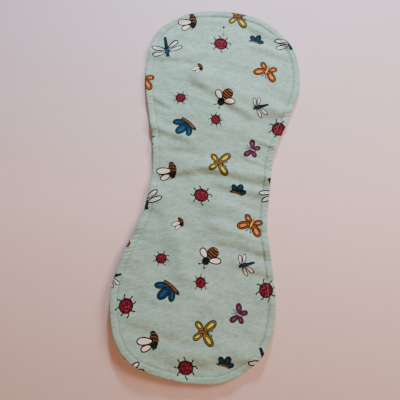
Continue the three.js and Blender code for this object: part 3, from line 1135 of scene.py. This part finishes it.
def turned(name, profile, material):
    """A closed body of revolution from (radius, y) pairs that start and end on the axis."""
    angles = [2 * math.pi * k / PIN_SIDES for k in range(PIN_SIDES)]
    ring = [(math.cos(angle), math.sin(angle)) for angle in angles]
    points = [(0, profile[0][1], 0)]
    for radius, y in profile[1:-1]:
        points += [(radius * c, y, radius * s) for c, s in ring]
    points.append((0, profile[-1][1], 0))
    rows = len(profile) - 2
    faces = []
    for k in range(PIN_SIDES):
        after = (k + 1) % PIN_SIDES
        faces.append((0, 1 + after, 1 + k))
        for row in range(rows - 1):
            low, high = 1 + row * PIN_SIDES, 1 + (row + 1) * PIN_SIDES
            faces.append((low + k, low + after, high + after, high + k))
        last = 1 + (rows - 1) * PIN_SIDES
        faces.append((last + k, last + after, len(points) - 1))
    mesh = bpy.data.meshes.new(name)
    mesh.from_pydata([tuple(v * MM for v in p) for p in points], [], faces)
    mesh.polygons.foreach_set("use_smooth", np.ones(len(faces), bool))
    mesh.materials.append(material)
    return add_object(name, mesh)


def head_profile():
    radius, centre = PIN["head_radius"], PIN["head_centre"]
    mouth = math.pi - math.asin(HEAD_SOCKET["lip"] / radius)
    profile = []
    for k in range(HEAD_STEPS + 1):
        angle = mouth * k / HEAD_STEPS
        profile.append((radius * math.sin(angle), centre - radius * math.cos(angle)))
    back = profile[-1][1]
    profile.append((HEAD_SOCKET["radius"], back - HEAD_SOCKET["lip_depth"]))
    profile.append((HEAD_SOCKET["radius"] * 0.98, back - HEAD_SOCKET["depth"]))
    profile.append((0.0, back - HEAD_SOCKET["depth"]))
    return profile


def shaft_profile():
    start = PIN["head_centre"] + PIN["end_past_centre"]
    radius = PIN["radius"]
    profile = [(0.0, start), (radius * 0.94, start), (radius, start + PIN["bevel"])]
    for y in np.linspace(start + PIN["shoulder"], PIN["tip"] - PIN["taper"], SHAFT_RINGS):
        profile.append((radius, float(y)))
    for share in (0.25, 0.5, 0.75, 0.92):
        width = radius * math.sqrt(1 - share ** 1.7)
        profile.append((width, PIN["tip"] - PIN["taper"] * (1 - share)))
    profile.append((0.0, PIN["tip"]))
    return profile


# The camera stands where the photograph's did


def add_camera():
    u = (PIN_PIXEL[0] - IMAGE_SIZE / 2) / LENS_PIXELS
    v = (PIN_PIXEL[1] - IMAGE_SIZE / 2) / LENS_PIXELS
    ahead = math.cos(CAMERA_PITCH) + v * math.sin(CAMERA_PITCH)
    up = math.sin(CAMERA_PITCH) - v * math.cos(CAMERA_PITCH)
    reach = CAMERA_FROM_WALL - PIN_FRONT
    camera = bpy.data.cameras.new("camera")
    camera.lens = camera.sensor_width * LENS_PIXELS / IMAGE_SIZE
    camera.clip_start = 0.01
    holder = add_object("camera", camera)
    holder.location = (-reach * u / ahead * MM, -CAMERA_FROM_WALL * MM, -reach * up / ahead * MM)
    holder.rotation_euler = (math.pi / 2 + CAMERA_PITCH, 0, 0)
    bpy.context.scene.camera = holder


# The stage, in metres: a painted wall that is see-through from behind, with painted light in its colour, a
# pale floor, and soft lamps

FLOOR_LEVEL = -1.15
WALL_HALF = 2.0
WALL_BACK = 0.0003
# The wall's pink with painted light: brightest at mid height, darker towards the floor, darker and bluer at
# the top
WALL_TONES_WITH_PAINTED_LIGHT = [
    # height, sRGB colour
    (-0.5, (216, 181, 182)),
    (-0.24, (246, 206, 208)),
    (0.04, (219, 193, 212)),
]
FLOOR_COLOUR = (206, 200, 194)
FLOOR_TONES = [(-2, FLOOR_COLOUR), (0, FLOOR_COLOUR)]


def one_sided_paint(name, tones, grain):
    """Paint with faint mottling. tones are (height in metres, sRGB colour) pairs, from the bottom up; on the
    wall they paint light, brightest at mid height, darker towards the floor, darker and bluer at the top.
    """
    material, tree, shader = new_material(name)
    place = object_place(tree)
    mottle = grain_noise(tree, place, (1, 1, 1), grain, 5.0)
    level = add_node(tree, "ShaderNodeSeparateXYZ", {0: place}).outputs[2]
    low, high = tones[0][0], tones[-1][0]
    height = arithmetic(tree, "DIVIDE", arithmetic(tree, "SUBTRACT", level, low), high - low)
    # The ramp colours the paint by height; on the wall this is painted light
    ramp = add_node(tree, "ShaderNodeValToRGB", {0: height})
    stops = ramp.color_ramp.elements
    while len(stops) < len(tones):
        stops.new(0.5)
    for stop, (at, colour) in zip(stops, tones):
        stop.position = (at - low) / (high - low)
        stop.color = opaque(colour)
    shade = {0: ramp.outputs[0], "Scale": weighted_sum(tree, 0.96, (mottle, 0.08))}
    lit = result(tree, "ShaderNodeVectorMath", shade, operation="SCALE")
    relief = bump(tree, mottle, strength=0.15, distance=0.0006)
    set_inputs(shader, Base_Color=lit, Roughness=0.85, Specular_IOR_Level=0.2, Normal=relief)
    behind = add_node(tree, "ShaderNodeNewGeometry").outputs["Backfacing"]
    through = result(tree, "ShaderNodeBsdfTransparent")
    seen = result(tree, "ShaderNodeMixShader", {0: behind, 1: shader.outputs[0], 2: through})
    output = next(node for node in tree.nodes if node.type == "OUTPUT_MATERIAL")
    put(output.inputs["Surface"], seen)
    return material


def stage_plane(name, corners, material):
    mesh = bpy.data.meshes.new(name)
    mesh.from_pydata(corners, [], [(0, 1, 2, 3)])
    mesh.materials.append(material)
    plane = add_object(name, mesh)
    return plane


def add_stage():
    left, right = -WALL_HALF, WALL_HALF
    foot = [(left, WALL_BACK, FLOOR_LEVEL), (right, WALL_BACK, FLOOR_LEVEL)]
    top = [(right, WALL_BACK, WALL_HALF), (left, WALL_BACK, WALL_HALF)]
    front = [(left, -2 * WALL_HALF, FLOOR_LEVEL), (right, -2 * WALL_HALF, FLOOR_LEVEL)]
    wall = stage_plane("wall", foot + top, one_sided_paint("wall_paint_with_painted_light", WALL_TONES_WITH_PAINTED_LIGHT, 60.0))
    wall.visible_shadow = False
    wall.visible_glossy = False
    stage_plane("floor", front + foot[::-1], one_sided_paint("floor_paint", FLOOR_TONES, 12.0))


def add_lamp(name, place, target, size, power, colour):
    lamp = bpy.data.lights.new(name, "AREA")
    lamp.size = size
    lamp.energy = power
    lamp.color = colour
    holder = add_object(name, lamp)
    holder.location = place
    holder.rotation_euler = (Vector(target) - Vector(place)).to_track_quat("-Z", "Y").to_euler()


def add_lights():
    middle = (-0.02, 0.0, -0.22)
    add_lamp("key", (0.03, -0.44, 0.57), middle, 0.12, 10.3, (0.68, 0.9, 1.0))
    add_lamp("side_wash", (0.82, -0.8, 0.2), (0.1, 0.0, -0.05), 0.5, 13.6, (1.0, 0.9, 0.77))
    add_lamp("low_fill", (0.1, -0.8, -1.0), middle, 0.8, 5.0, (1.0, 0.47, 0.08))
    add_lamp("back_fill", (0.3, 1.4, 0.5), middle, 1.0, 7.0, (1.0, 0.92, 0.84))
    world = bpy.data.worlds.new("room")
    world.use_nodes = True
    bpy.context.scene.world = world
    background = next(node for node in world.node_tree.nodes if node.type == "BACKGROUND")
    background.inputs["Color"].default_value = (1.0, 0.8, 0.66, 1)
    background.inputs["Strength"].default_value = 0.11


def build_cloth():
    drawn = printed_shapes()
    colours = [colour for colour, _ in drawn]
    front = sheet_piece("front_cloth", -1, [shape for _, shape in drawn], colours)
    front.data.materials.append(flannel("printed_flannel", printed=True))
    back = sheet_piece("back_cloth", 1, [], [])
    back.data.materials.append(flannel("plain_flannel", printed=False))
    tree = stitch_tree(thread())
    front_stitches = stitches("front_stitches", -1, tree)
    back_stitches = stitches("back_stitches", 1, tree)
    for piece, node, slot, sewing in ((front, "front_panel", "print_flannel", front_stitches),
                                      (back, "back_panel", "plain_flannel", back_stitches)):
        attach(piece, "root")
        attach(sewing, "root")
        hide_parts(node)


def build_pin():
    head = turned("bead_head", head_profile(), black_bead())
    shaft = turned("pin_wire", shaft_profile(), pin_wire())
    for piece, node, slot in ((head, "pin_head", "pin_head"), (shaft, "pin_shaft", "pin_steel")):
        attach(piece, "root")
        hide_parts(node)


add_camera()
build_cloth()
build_pin()
add_stage()
add_lights()
